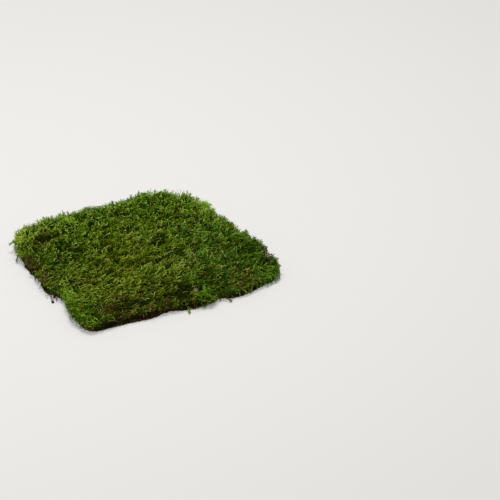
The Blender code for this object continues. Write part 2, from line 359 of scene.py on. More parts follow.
def joined_mesh(name, parts):
    """One mesh object from laid patterns, with its colour places as the UV map that the bake keeps."""
    places, corners, colours = [], [], []
    total = 0
    for place, faces, colour in parts:
        places.append(place)
        corners.append(faces + total)
        colours.append(colour)
        total += len(place)
    place = np.concatenate(places).astype(np.float32)
    faces = np.concatenate(corners).astype(np.int32)
    colour = np.concatenate(colours).astype(np.float32)
    mesh = bpy.data.meshes.new(name)
    mesh.vertices.add(len(place))
    mesh.vertices.foreach_set("co", place.ravel())
    mesh.loops.add(3 * len(faces))
    mesh.loops.foreach_set("vertex_index", faces.ravel())
    mesh.polygons.add(len(faces))
    mesh.polygons.foreach_set("loop_start", np.arange(0, 3 * len(faces), 3, dtype=np.int32))
    mesh.update(calc_edges=True)
    layer = mesh.uv_layers.new(name="OFBake")
    layer.data.foreach_set("uv", colour[faces.ravel()].ravel())
    mesh.validate()
    piece = bpy.data.objects.new(name, mesh)
    bpy.context.collection.objects.link(piece)
    return piece


def surface_of(node):
    """The node's triangles as arrays: corners, normals and areas."""
    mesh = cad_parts[node].data
    mesh.calc_loop_triangles()
    co = np.zeros(3 * len(mesh.vertices))
    mesh.vertices.foreach_get("co", co)
    index = np.zeros(3 * len(mesh.loop_triangles), np.int32)
    mesh.loop_triangles.foreach_get("vertices", index)
    corners = co.reshape(-1, 3)[index].reshape(-1, 3, 3)
    cross = np.cross(corners[:, 1] - corners[:, 0], corners[:, 2] - corners[:, 0])
    return corners, unit(cross), 0.5 * np.linalg.norm(cross, axis=-1)


def scatter(surface, count, spacing, draw, keep):
    """Random places on a surface, none nearer to another than the spacing, and the normals there."""
    corners, normals, areas = surface
    weight = areas * keep(corners.mean(axis=1), normals)
    chosen = draw.choice(len(areas), size=count, p=weight / weight.sum())
    a, b = draw.random(count), draw.random(count)
    flip = a + b > 1.0
    a[flip], b[flip] = 1.0 - a[flip], 1.0 - b[flip]
    first, second, third = (corners[chosen, number] for number in range(3))
    place = first + a[:, None] * (second - first) + b[:, None] * (third - first)
    taken = {}
    kept = []
    for index, spot in enumerate(place):
        cell = tuple(np.floor(spot / spacing).astype(int))
        near = [other for dx in (-1, 0, 1) for dy in (-1, 0, 1) for dz in (-1, 0, 1)
                for other in taken.get((cell[0] + dx, cell[1] + dy, cell[2] + dz), ())]
        if all(np.sum((place[other] - spot) ** 2) > spacing ** 2 for other in near):
            taken.setdefault(cell, []).append(index)
            kept.append(index)
    return place[kept], normals[chosen[kept]]


def rim_loop(overhang):
    """The outline of the green rim, as points in order and outward directions.

    It is the outline of the humus layer's bottom, moved out by the green layer's overhang in mm."""
    places = np.array([vert.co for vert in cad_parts["humus_layer"].data.vertices])
    ring = np.unique(places[places[:, 2] < 0.1 * MM][:, :2].round(6), axis=0)
    ring = ring[np.argsort(np.arctan2(ring[:, 1], ring[:, 0]))]
    along = np.roll(ring, -2, axis=0) - np.roll(ring, 2, axis=0)
    out = unit(np.stack([along[:, 1], -along[:, 0]], -1))
    return ring + overhang * MM * out, out


rim, rim_out = rim_loop(5.5)
carpet = surface_of("moss_carpet")
carpet_tree = BVHTree.FromPolygons([Vector(spot) for spot in carpet[0].reshape(-1, 3)],
                                   [(3 * face, 3 * face + 1, 3 * face + 2) for face in range(len(carpet[0]))])


def rim_near(place):
    """Distance in from the rim and the outward direction there, for an array of places."""
    gap = np.linalg.norm(place[:, None, :2] - rim[None], axis=-1)
    nearest = gap.argmin(axis=1)
    inward = np.einsum("ij,ij->i", rim[nearest] - place[:, :2], rim_out[nearest])
    out = np.concatenate([rim_out[nearest], np.zeros((len(place), 1))], -1)
    return inward, out


def top_height(place, otherwise):
    """Height of the tips' surface under an array of places; beyond the rim, the heights given instead."""
    down = Vector((0.0, 0.0, -1.0))
    heights = np.array(otherwise, dtype=float)
    for index, (x, y, z) in enumerate(place):
        hit = carpet_tree.ray_cast(Vector((x, y, 1.0)), down)[0]
        if hit is not None:
            heights[index] = hit.z
    return heights


def field(place, wave, layer):
    """Smooth noise over the mat for an array of places, with a wavelength in mm along and across."""
    along, across = wave[0] * MM, wave[1] * MM
    return np.array([noise.noise(Vector((x / along, y / across, layer))) for x, y, z in place])


def near_spot(place, spot, radius):
    """A smooth weight from 1 at a spot in mm to 0 at its radius."""
    gap = np.linalg.norm(place[:, :2] / MM - np.array(spot), axis=-1) / radius
    return np.clip(1.0 - gap ** 2, 0.0, 1.0)


# Patches of lighter or darker green: middle in mm, radius in mm, and how much lighter or darker. Some are
# the moss's own tone, some painted shade, such as the one at (25, 14) on the far side of the worn hole.
tone_and_shade_patches = [
    ((-125, 110), 24, 0.60), ((-139, 103), 16, 0.40), ((-109, 115), 16, 0.34), ((-66, 116), 16, 0.26),
    ((-50, 100), 50, 0.14), ((-115, -58), 28, 0.10), ((-18, 50), 10, 0.24), ((-47, 16), 9, 0.20),
    ((5, 36), 10, 0.16), ((0, 30), 46, 0.06), ((-44, -56), 12, 0.28), ((30, -45), 12, 0.22),
    ((-29, -34), 11, 0.22), ((-93, -48), 9, 0.24), ((112, 84), 36, 0.14), ((120, 68), 20, 0.30),
    ((-129, -49), 16, 0.34), ((-140, -62), 10, 0.30), ((-115, -76), 16, 0.16), ((-146, 76), 9, 0.30),
    ((95, -12), 46, -0.08), ((65, -75), 34, -0.10), ((123, -60), 42, -0.10), ((132, -64), 20, -0.10),
    ((140, -98), 18, -0.14), ((115, -112), 36, -0.10), ((30, -28), 22, -0.10), ((5, -75), 30, -0.24),
    ((47, -106), 30, -0.20), ((-75, -116), 26, -0.24), ((-13, -112), 30, -0.32), ((-84, 52), 18, -0.20),
    ((-97, 30), 32, -0.03), ((-72, 122), 26, 0.16), ((-104, 90), 14, -0.30), ((-104, -108), 24, -0.46),
    ((-122, -96), 26, -0.16), ((-44, -104), 12, -0.26), ((80, 76), 34, 0.16), ((30, -26), 26, -0.17),
    ((97, 3), 32, 0.18), ((-100, 116), 18, 0.14), ((-108, -78), 24, -0.08), ((-14, -2), 22, 0.12),
    ((-56, 20), 22, 0.12), ((25, 14), 9, -0.35)]
# Where the moss is browned: middle in mm, radius in mm, and the share of brown shoots.
brown_patches = [
    ((-108, 87), 13, 0.90), ((-97, 91), 12, 0.90), ((-84, 93), 11, 0.85), ((-99, -32), 16, 0.45),
    ((-84, -26), 12, 0.40), ((6, -112), 17, 0.85), ((-15, -116), 16, 0.75), ((-34, -116), 14, 0.55),
    ((131, 42), 12, 0.45), ((-146, 54), 14, 0.65), ((-142, 32), 14, 0.65), ((-144, 0), 16, 0.6),
    ((-80, -106), 34, 0.68), ((-79, -124), 45, 0.45), ((93, -132), 34, 0.40), ((142, -84), 14, 0.45)]
# Where shoots are missing and the dark inside shows: middle in mm, radius in mm, and the share that is gone
# at the middle. Past 1, all are gone for some way round it too.
worn_patches = [
    ((18, 9), 6.8, 1.6), ((25, 5.5), 6.8, 1.6), ((21.5, 14.5), 6.8, 1.6), ((28.5, 11), 6.8, 1.6),
    ((101, 42), 5, 0.9), ((88, -47), 3, 0.8), ((-96, 52), 6, 0.97), ((-95, 60), 5.5, 0.97),
    ((-87, 48), 6.5, 0.97), ((-86, 56), 6, 0.97), ((-78, 41), 6, 0.95), ((-77, 48), 5.5, 0.95),
    ((-110, 86), 6, 0.85), ((-99, 91), 6, 0.85), ((-89, 91), 5, 0.80), ((-40, 25), 5.5, 0.92),
    ((-45, 3), 5.5, 0.92), ((-62, -29), 5, 0.9), ((-72, -111), 7, 0.80), ((-86, -109), 7, 0.80),
    ((-56, -113), 7, 0.7), ((-42, -114), 8, 0.80), ((6, -104), 8, 0.80), ((-5, -112), 9, 0.88),
    ((0, -122), 8, 0.82), ((-17, -114), 9, 0.80), ((-142, 29), 8, 0.7), ((-147, 48), 8, 0.7),
    ((-145, 92), 6, 0.8), ((140, -84), 8, 0.5)]


def bare_wall(place):
    """From 0 to 1 where the dark layer shows: low on the front side, from its left corner to the middle."""
    low = np.clip((15.0 - place[:, 2] / MM) / 6.0, 0.0, 1.0)
    return low * np.sqrt(near_spot(place, (-72, -118), 50))


def worn_share(place):
    """The share of shoots that are gone."""
    share = 0.70 * bare_wall(place)
    for spot, radius, gone in worn_patches:
        share = np.maximum(share, gone * np.sqrt(near_spot(place, spot, radius)))
    return share


def shade_at(place):
    """Where the green lies between deep and yellow, before each shoot's own chance."""
    shade = 0.46 + 0.20 * field(place, (60, 45), 3.0) + 0.20 * field(place, (16, 11), 9.0)
    for spot, radius, change in tone_and_shade_patches:
        shade = shade + change * near_spot(place, spot, radius)
    return shade - 0.34 * bare_wall(place)


def brown_share(place):
    """The share of shoots that are brown."""
    share = 0.020 + 0.08 * np.maximum(0.0, field(place, (26, 18), 33.0))
    for spot, radius, most in brown_patches:
        share = np.maximum(share, most * near_spot(place, spot, radius))
    return np.maximum(share, 0.80 * bare_wall(place))


def leafy_side(place):
    """From 0 to 1 along the two stretches of the side that green shoots cover down to the foot."""
    return np.maximum(near_spot(place, (100, -126), 58), 0.6 * near_spot(place, (-134, -84), 32))


def wildness(place):
    """From 0 at the front and middle, where shoots are combed, to 1 at the back, where they stand about."""
    return np.clip((place[:, 1] / MM + 10.0) / 110.0, 0.0, 1.0)


def comb_direction(place, draw):
    """The way the shoots lie: along the mat in the middle and front, more at random towards the back."""
    untidy = 0.44 + 0.60 * wildness(place)
    rising = -0.12 + 0.24 * np.clip((place[:, 0] / MM + 60.0) / 120.0, 0.0, 1.0)
    angle = rising + 0.70 * field(place, (42, 30), 21.0) + draw.normal(0.0, untidy, len(place))
    return np.stack([np.cos(angle), np.sin(angle), np.zeros(len(place))], -1)


# Hues are places on a green's colour ramp: green up to this one, and brown past it.
last_green = 0.80


def green_hue(shade):
    """The hue of a shade from 0, deep green, to 1, yellow green."""
    return 0.02 + 0.74 * shade


def any_twist(count, draw):
    return draw.uniform(0.0, 2.0 * math.pi, count)


def grow_shoots(place, up, depth, lift, length, tone, draw):
    """A shoot at each place on the tips' surface, its tip round there and its root further in.

    depth, lift and length are ranges in mm: the root below the tip, the tip above the surface, and how long
    the shoot is. tone makes them all lighter or darker."""
    count = len(place)
    inward, out = rim_near(place)
    steep = np.clip(1.0 - 1.2 * up[:, 2:3], 0.0, 1.0)
    edge = np.clip(1.0 - inward[:, None] / (12.0 * MM), 0.0, 1.0)
    lie = comb_direction(place, draw)
    facing = np.einsum("ij,ij->i", lie, out)[:, None]
    lie = lie + out * edge * (0.8 - np.minimum(0.0, facing))
    along_rim = np.stack([-out[:, 1], out[:, 0], out[:, 2]], -1) * draw.normal(0.0, 0.7, (count, 1))
    droop = np.concatenate([np.zeros((count, 2)), draw.uniform(-1.0, 0.3, (count, 1))], -1)
    lie = lie * (1.0 - steep) + (along_rim + droop + 0.5 * out) * steep
    low = np.clip((16.0 - place[:, 2] / MM) / 8.0, 0.0, 1.0)
    leafy = leafy_side(place)
    # On steep sides the green is painted darker, painted shade of the side, less so where green shoots cover
    # it; low down on them more of the shoots are brown.
    shade = shade_at(place) + draw.normal(0.0, 0.08, count) + tone - 0.32 * steep[:, 0] * (1.0 - 0.6 * leafy)
    browned = np.maximum(brown_share(place), (0.20 + 0.45 * low) * steep[:, 0] * (1.0 - 0.8 * leafy))
    ahead = lie + 0.18 * draw.normal(0.0, 1.0, (count, 3))
    ahead = unit(ahead - np.einsum("ij,ij->i", ahead, up)[:, None] * up)
    across = np.cross(up, ahead)
    spread = draw.uniform(-1.0, 1.0, (count, 2))
    shorter = (1.0 - 0.35 * steep) * (1.0 - 0.42 * wildness(place)[:, None])
    long = draw.uniform(*length, count)[:, None] * MM * shorter
    deep = draw.uniform(*depth, count)[:, None] * MM
    proud = draw.uniform(*lift, count)[:, None] * MM
    tip = place + ahead * spread[:, :1] * 3.0 * MM + across * spread[:, 1:] * 2.0 * MM + up * proud
    root = tip - ahead * long - up * deep
    bow = draw.uniform(0.0, 0.50, count)[:, None]
    sway = draw.normal(0.0, 0.30, (count, 1))
    middle = root + (tip - root) * 0.55 + up * deep * bow + across * long * sway
    height = place[:, 2]
    tip[:, 2] = np.clip(tip[:, 2], 1.0 * MM, top_height(tip, height) + 0.6 * MM)
    middle[:, 2] = np.clip(middle[:, 2], 2.0 * MM, top_height(middle, height) + 0.3 * MM)
    root[:, 2] = np.clip(root[:, 2], 2.0 * MM, np.maximum(top_height(root, height) - 2.5 * MM, 2.5 * MM))
    shade = np.clip(shade + draw.normal(0.0, 0.28, count), 0.0, 1.0)
    brown = draw.random(count) < browned
    dull = 0.05 * low * steep[:, 0] + 0.10 * worn_share(place)
    brown_hue = np.maximum(draw.uniform(0.87, 1.0, count) - dull, 0.845)
    hue = np.where(brown, brown_hue, green_hue(shade))
    size = draw.uniform(0.78, 1.12, count) * (1.0 + 0.28 * edge[:, 0])
    return {"root": root, "middle": middle, "tip": tip, "up": up, "size": size,
            "twist": any_twist(count, draw), "hue": hue}


def side_shoots(shoots, draw):
    """A shorter shoot that forks off each shoot part way along, to the left or to the right."""
    count = len(shoots["size"])
    root, middle, tip, up = (shoots[key] for key in ("root", "middle", "tip", "up"))
    start = curve_place(root, middle, tip, draw.uniform(0.30, 0.70, (count, 1)))
    ahead = unit(tip - middle)
    across = np.cross(up, ahead)
    turn = draw.uniform(0.45, 0.95, count) * draw.choice([-1.0, 1.0], count)
    way = ahead * np.cos(turn)[:, None] + across * np.sin(turn)[:, None]
    long = draw.uniform(3.5, 7.0, count)[:, None] * MM
    end = start + way * long + up * draw.uniform(-0.6, 0.9, (count, 1)) * MM
    end[:, 2] = np.clip(end[:, 2], 1.0 * MM, top_height(end, tip[:, 2]) + 0.6 * MM)
    bend = start + way * long * 0.5 + ahead * long * 0.12
    return {"root": start, "middle": bend, "tip": end, "up": up, "size": shoots["size"] * 0.9,
            "twist": any_twist(count, draw), "hue": shoots["hue"]}


def picked(shoots, chosen):
    """The chosen ones of a set of shoots."""
    return {key: value[chosen] for key, value in shoots.items()}


def leave_holes(shoots, draw):
    """Takes out the shoots that would lie over a worn patch."""
    bare = np.zeros(len(shoots["size"]))
    for t in (0.0, 0.25, 0.5, 0.75, 1.0):
        spot = curve_place(shoots["root"], shoots["middle"], shoots["tip"], t)
        bare = np.maximum(bare, worn_share(spot))
    return picked(shoots, draw.random(len(bare)) > bare)


def colour_places(nodes, links):
    """The two places in the colour map that a shoot's points carry, as one node with outputs X and Y."""
    places = nodes.new("ShaderNodeUVMap")
    places.uv_map = "OFBake"
    split = nodes.new("ShaderNodeSeparateXYZ")
    links.new(places.outputs["UV"], split.inputs["Vector"])
    return split


def moss_finish(name, deep, middle, bright, yellow):
    """Leaf colour by the shoot's hue, from deep to yellow green or brown, and darker towards its root."""
    leaf, nodes, links, shader = dull_material(name, 0.60)
    split = colour_places(nodes, links)
    hue = colour_ramp(nodes, ((0.02, deep), (0.28, middle), (0.52, bright), (0.77, yellow),
                              (0.84, (0.040, 0.024, 0.006)), (1.0, (0.26, 0.17, 0.050))))
    # Darker towards the root: partly painted shade from the shoots that lie over it, partly the older stem's
    # own darker colour.
    along = colour_ramp(nodes, ((0.05, (0.045, 0.062, 0.004)), (0.38, (0.41, 0.46, 0.20)),
                                (0.78, (1.0, 1.0, 1.0))))
    tint = nodes.new("ShaderNodeMix")
    tint.data_type = "RGBA"
    tint.blend_type = "MULTIPLY"
    tint.inputs["Factor"].default_value = 1.0
    links.new(split.outputs["X"], hue.inputs["Fac"])
    links.new(split.outputs["Y"], along.inputs["Fac"])
    links.new(hue.outputs["Color"], tint.inputs["A"])
    links.new(along.outputs["Color"], tint.inputs["B"])
    links.new(tint.outputs["Result"], shader.inputs["Base Color"])
    return leaf


def all_but_underside(middle, normal):
    """The whole carpet, apart from the faces that look down."""
    return (normal[:, 2] > -0.25).astype(float)


# Four kinds of green: olive in the middle, fresh at the back and rim, cool at the right end, pale all over.
# The leaves carry no gloss, so the pale kind is partly painted sheen on the leaves and partly paler shoots.
green_colours = {
    "olive": ((0.052, 0.072, 0.002), (0.160, 0.215, 0.004), (0.33, 0.43, 0.020), (0.62, 0.76, 0.100)),
    "fresh": ((0.033, 0.080, 0.002), (0.098, 0.220, 0.004), (0.21, 0.44, 0.020), (0.50, 0.78, 0.080)),
    "cool": ((0.020, 0.060, 0.004), (0.062, 0.165, 0.010), (0.14, 0.34, 0.025), (0.36, 0.62, 0.08)),
    "pale": ((0.050, 0.062, 0.008), (0.170, 0.210, 0.036), (0.36, 0.44, 0.090), (0.57, 0.66, 0.18))}
greens = {kind: moss_finish(f"moss_{kind}", *colours) for kind, colours in green_colours.items()}
# Each kind's weight all over the mat, and where it is at home: middle in mm, radius in mm and weight.
homes = {
    "olive": (0.16, [((-57, -60), 90, 1.0), ((-17, 20), 90, 0.8), ((-122, 100), 45, 0.8)]),
    "fresh": (0.16, [((3, 120), 90, 0.9), ((83, 110), 60, 0.9), ((120, 68), 22, 2.0), ((-57, 110), 70, 0.7),
                     ((-107, -110), 40, 0.9), ((23, -134), 16, 2.0), ((-137, -60), 50, 0.6)]),
    "cool": (0.16, [((123, -70), 75, 1.3), ((63, -110), 60, 0.7), ((-82, 45), 35, 0.7), ((93, 10), 50, 0.6)]),
    "pale": (0.09, [((8, -60), 60, 0.2), ((83, -60), 50, 0.2)])}


def kind_of(shoots, draw):
    """Which kind of green each shoot is: by where it grows, with chance between neighbours."""
    likely = []
    for number, (everywhere, places) in enumerate(homes.values()):
        patchy = np.maximum(0.0, field(shoots["tip"], (38, 30), 50.0 + 9.0 * number))
        weight = everywhere + 0.35 * patchy
        for spot, radius, most in places:
            weight = weight + most * near_spot(shoots["tip"], spot, radius)
        likely.append(weight)
    likely = np.cumsum(np.array(likely) / np.sum(likely, axis=0), axis=0)
    return (draw.random(len(shoots["hue"]))[None] > likely[:-1]).sum(axis=0)


def add_greens(name, sets, draw):
    """Joins sets of shoots, each with its pattern, into a left piece 1 and a right piece 2 of each green."""
    kinds = [kind_of(shoots, draw) for pattern, shoots in sets]
    for number, (kind, finish) in enumerate(greens.items()):
        for half in (1, 2):
            parts = []
            for (pattern, shoots), mine in zip(sets, kinds):
                side = 1 + (shoots["tip"][:, 0] > 0.0)
                chosen = np.flatnonzero((mine == number) & (side == half))
                if len(chosen):
                    parts.append(lay_shoots(pattern, picked(shoots, chosen)))
            piece = joined_mesh(f"{kind}_{name}_{half}", parts)
            piece.data.materials.append(finish)
            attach(piece, "root")


long_shoot = leafy_pattern(leaves=15, leaf_length=1.60, opening=(0.10, 0.32), star=3, stem_rings=4, seed=1)
short_shoot = leafy_pattern(leaves=8, leaf_length=1.45, opening=(0.12, 0.38), star=3, stem_rings=2, seed=2)
hidden_shoot = leafy_pattern(leaves=11, leaf_length=2.0, opening=(0.18, 0.45), star=1, stem_rings=3, seed=3)
# Shoots that stand clear of the others get light down to their roots.
lit_scale = np.array([1.0, 1.0, 1.0, 1.0, 1.0, 0.55])
lit_start = np.array([0.0, 0.0, 0.0, 0.0, 0.0, 0.36])
clear_shoot = short_shoot[0] * lit_scale + lit_start, short_shoot[1]
clear_long = long_shoot[0] * lit_scale + lit_start, long_shoot[1]

draw = np.random.default_rng(7)
places, places_up = scatter(carpet, 30000, 3.15 * MM, draw, all_but_underside)
proud = draw.random(len(places)) < 0.52
# Each layer's tone is painted light and shade: the lower layers darker, as in the shade of those above them,
# and the top one lighter, as where the light falls.
under = grow_shoots(places, places_up, (1.5, 3.5), (-4.4, -2.8), (8.5, 14.0), -0.34, draw)
under = leave_holes(under, draw)
middle_layer = grow_shoots(places, places_up, (3.0, 6.0), (-2.6, -1.0), (8.5, 15.5), -0.20, draw)
middle_layer = leave_holes(middle_layer, draw)
top_layer = grow_shoots(places[proud], places_up[proud], (3.0, 6.0), (-0.8, 0.6), (8.5, 16.5), 0.23, draw)
top_layer = leave_holes(top_layer, draw)
forks = leave_holes(side_shoots(middle_layer, draw), draw)
top_forks = leave_holes(side_shoots(top_layer, draw), draw)
top_rim = rim_near(top_layer["tip"])[0] < 4.0 * MM
middle_rim = rim_near(middle_layer["tip"])[0] < 4.0 * MM
add_greens("shoots", [
    (long_shoot, picked(middle_layer, ~middle_rim)), (long_shoot, picked(top_layer, ~top_rim)),
    (clear_long, picked(middle_layer, middle_rim)), (clear_long, picked(top_layer, top_rim)),
    (short_shoot, forks), (short_shoot, top_forks)], draw)
shaded = joined_mesh("shaded_shoots", [lay_shoots(hidden_shoot, under)])
shaded.data.materials.append(greens["olive"])
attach(shaded, "root")


# Upright tips and sprigs
# Short shoots that stand up out of the combed ones, most of all round the rim, where they make the edge
# ragged, and a few sprigs that hang over the front or stick out of it. They are shoots like the others.

def standing_shoots(place, length, lean, draw):
    """Short shoots that stand up from each place and lean outward, their tips below the highest point."""
    count = len(place)
    out = rim_near(place)[1]
    way = unit(np.array([0.0, 0.0, 1.0]) + out * lean + draw.normal(0.0, 0.45, (count, 3)))
    long = draw.uniform(*length, (count, 1)) * MM
    tip = place + way * long
    root = place - way * 3.0 * MM
    highest = cad_box[1][2] - 0.5 * MM - draw.uniform(0.0, 2.0, count) * MM
    tip[:, 2] = np.minimum(tip[:, 2], highest)
    middle = 0.5 * (root + tip) + draw.normal(0.0, 0.7, (count, 3)) * MM
    shade = np.clip(shade_at(place) + 0.04 + draw.normal(0.0, 0.16, count), 0.0, 1.0)
    brown = draw.random(count) < brown_share(place)
    return {"root": root, "middle": middle, "tip": tip, "up": unit(np.cross(way, np.array([0.0, 1.0, 0.3]))),
            "size": draw.uniform(0.75, 1.05, count), "twist": any_twist(count, draw),
            "hue": np.where(brown, draw.uniform(0.85, 0.98, count), green_hue(shade))}


def near_upper_rim(middle, normal):
    """The top of the carpet's rim, all round the mat."""
    inward = rim_near(middle)[0]
    return ((inward < 7.0 * MM) & (middle[:, 2] > 12.0 * MM)).astype(float)


def rim_and_leafy_side(middle, normal):
    """The top of the rim, and further down where green shoots cover the side."""
    inward = rim_near(middle)[0]
    lowest = (12.0 - 9.0 * leafy_side(middle)) * MM
    return ((inward < 7.0 * MM) & (middle[:, 2] > lowest) & (normal[:, 2] > -0.4)).astype(float)


def lower_rim(middle, normal):
    """The carpet's side, from which shoots hang over the dark layer."""
    inward = rim_near(middle)[0]
    return ((inward < 6.0 * MM) & (middle[:, 2] > 3.5 * MM) & (middle[:, 2] < 15.0 * MM)
            & (normal[:, 2] > -0.5)).astype(float)


def hanging_shoots(place, draw):
    """Shoots that hang down the side from each place and partly cover the dark layer."""
    count = len(place)
    out = rim_near(place)[1]
    along_rim = np.stack([-out[:, 1], out[:, 0], out[:, 2]], -1)
    way = unit(np.array([0.0, 0.0, -0.9]) + out * 0.15 + along_rim * draw.normal(0.0, 0.65, (count, 1)))
    leafy = leafy_side(place)
    long = draw.uniform(4.0, 10.0, (count, 1)) * MM * (1.0 + 0.5 * leafy[:, None])
    root = place + np.array([0.0, 0.0, 1.0]) * MM
    tip = root + way * long
    tip[:, 2] = np.maximum(tip[:, 2], draw.uniform(0.8, 4.0, count) * MM)
    middle = 0.5 * (root + tip) + out * draw.uniform(0.0, 1.2, (count, 1)) * MM
    # Hanging shoots are painted darker than those on top, painted shade of the side, less so on the leafy
    # stretches.
    shade = np.clip(shade_at(place) - 0.20 + draw.normal(0.0, 0.16, count), 0.0, 1.0)
    shade = np.clip(shade + 0.24 * leafy, 0.0, 1.0)
    brown = draw.random(count) < np.maximum(0.38, brown_share(place)) * (1.0 - 0.8 * leafy)
    return {"root": root, "middle": middle, "tip": tip, "up": out, "size": draw.uniform(0.8, 1.1, count),
            "twist": any_twist(count, draw),
            "hue": np.where(brown, draw.uniform(0.845, 0.95, count), green_hue(shade))}


def sprig(root, tip, count, spread, shade, draw):
    """A few shoots that leave the mat together: its root and tip in mm, and how far the tips fan out."""
    start = (np.array(root) + draw.normal(0.0, 0.5 * spread, (count, 3))) * MM
    end = (np.array(tip) + draw.normal(0.0, spread, (count, 3))) * MM
    end[:, 2] = np.maximum(end[:, 2], 0.8 * MM)
    lifted = np.array([0.0, 0.0, 0.15]) * np.linalg.norm(end - start, axis=-1)[:, None]
    return {"root": start, "middle": 0.5 * (start + end) + lifted, "tip": end,
            "up": np.tile((0.0, -0.5, 0.9), (count, 1)), "size": draw.uniform(0.8, 1.1, count),
            "twist": any_twist(count, draw),
            "hue": green_hue(np.clip(shade + draw.normal(0.0, 0.12, count), 0.0, 1.0))}


draw = np.random.default_rng(11)
edge_places = scatter(carpet, 9000, 2.7 * MM, draw, near_upper_rim)[0]
edge_tips = standing_shoots(edge_places, (0.6, 2.0), 0.7, draw)
tuft_places = scatter(carpet, 2500, 6.5 * MM, draw, near_upper_rim)[0]
tuft_places = np.repeat(tuft_places[draw.random(len(tuft_places)) < 0.55], 6, axis=0)
tufts = standing_shoots(tuft_places, (2.0, 4.4), 0.9, draw)
tufts["size"] = tufts["size"] * 1.35
tufts["hue"] = np.where(tufts["hue"] < last_green, tufts["hue"] + 0.05, tufts["hue"])
back_tips = standing_shoots(edge_places[near_spot(edge_places, (112, 92), 44) > 0.0], (2.0, 4.5), 1.3, draw)
edge_tips["size"] = edge_tips["size"] * 1.25
edge_tips["hue"] = np.where(edge_tips["hue"] < last_green, 0.85 * edge_tips["hue"], edge_tips["hue"])
loose_places = places[(places_up[:, 2] > 0.7) & (draw.random(len(places)) < 0.28 + 0.16 * wildness(places))]
loose_tips = leave_holes(standing_shoots(loose_places, (1.0, 3.0), 0.0, draw), draw)

# Shoots hang in clumps, thick on the leafy stretches, and leave two corners of the dark layer bare.
lip_places = scatter(carpet, 9000, 2.4 * MM, draw, lower_rim)[0]
thick = (draw.random(len(lip_places)) < 0.75) & (field(lip_places, (13, 13), 71.0) > 0.0)
thick = thick | (leafy_side(lip_places) > 0.05)
bare = near_spot(lip_places, (-147, 82), 16) > 0.1
bare = bare | ((near_spot(lip_places, (-128, -92), 48) > 0.1) & (lip_places[:, 2] < 10.5 * MM))
lip_places = lip_places[thick & ~bare & (draw.random(len(lip_places)) > worn_share(lip_places))]
leafy_lip = leafy_side(lip_places) > 0.05
lip_shoots = hanging_shoots(lip_places[~leafy_lip], draw)
leafy_shoots = hanging_shoots(lip_places[leafy_lip], draw)
rim_cover, rim_up = scatter(carpet, 7000, 3.1 * MM, draw, rim_and_leafy_side)
rim_shoots = grow_shoots(rim_cover, rim_up, (2.0, 4.0), (-1.8, 0.0), (5.0, 10.0), -0.06, draw)
rim_shoots = leave_holes(rim_shoots, draw)
edge_tips = leave_holes(edge_tips, draw)
tufts = leave_holes(tufts, draw)

# Small sprigs that lie loose on the back edge: places in mm.
loose_sprigs = np.array([
    (98, 115.5, 23.8), (101, 114, 23.9), (105, 112.5, 24.0), (108, 110, 24.1), (112, 108, 23.6),
    (116, 105, 23.2), (72.5, 132.5, 23.2)]) * MM
back_sprigs = standing_shoots(loose_sprigs, (2.2, 3.4), 0.9, draw)
back_sprigs["hue"] = draw.uniform(0.10, 0.30, len(loose_sprigs))
# Sprigs: root and tip in mm, number of shoots, how far they fan out in mm, and shade.
sprig_places = [
    ((30, -115, 20), (25, -134, 6), 24, 2.0, 0.80), ((36, -116, 20), (34, -134, 6.5), 26, 2.0, 0.78),
    ((26, -119, 13), (20, -134, 4), 12, 2.0, 0.45), ((0, -128, 6), (-1.5, -136.5, 1.6), 12, 1.7, 0.42),
    ((50, -131, 6), (58, -138.5, 3), 10, 0.9, 0.10), ((86, -127, 7), (91, -132, 3), 6, 1.2, 0.60),
    ((112, -122, 6), (116, -128, 2.5), 4, 0.8, 0.50), ((-146, 84, 9), (-151, 79, 4), 6, 0.7, 0.25),
    ((-143, 106, 16), (-149.5, 104.0, 15.5), 8, 1.2, 0.66)]
sprigs = [(clear_long, sprig(*numbers, draw)) for numbers in sprig_places]
add_greens("tips", [
    (clear_shoot, edge_tips), (clear_shoot, tufts), (short_shoot, loose_tips), (short_shoot, lip_shoots),
    (clear_shoot, leafy_shoots), (short_shoot, rim_shoots), (clear_shoot, back_tips),
    (clear_shoot, back_sprigs), *sprigs], draw)


# Dry litter
# Three bits of dead grass stalk caught among the shoots, and a small papery husk that leans on the front
# tufts. Each takes the place of its plain solid.

def own_axes(node):
    """The middle of a node's points, its directions from the longest to the shortest, and the points."""
    places = np.array([vert.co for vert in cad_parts[node].data.vertices])
    middle = places.mean(axis=0)
    return middle, np.linalg.svd(places - middle, full_matrices=False)[2], places


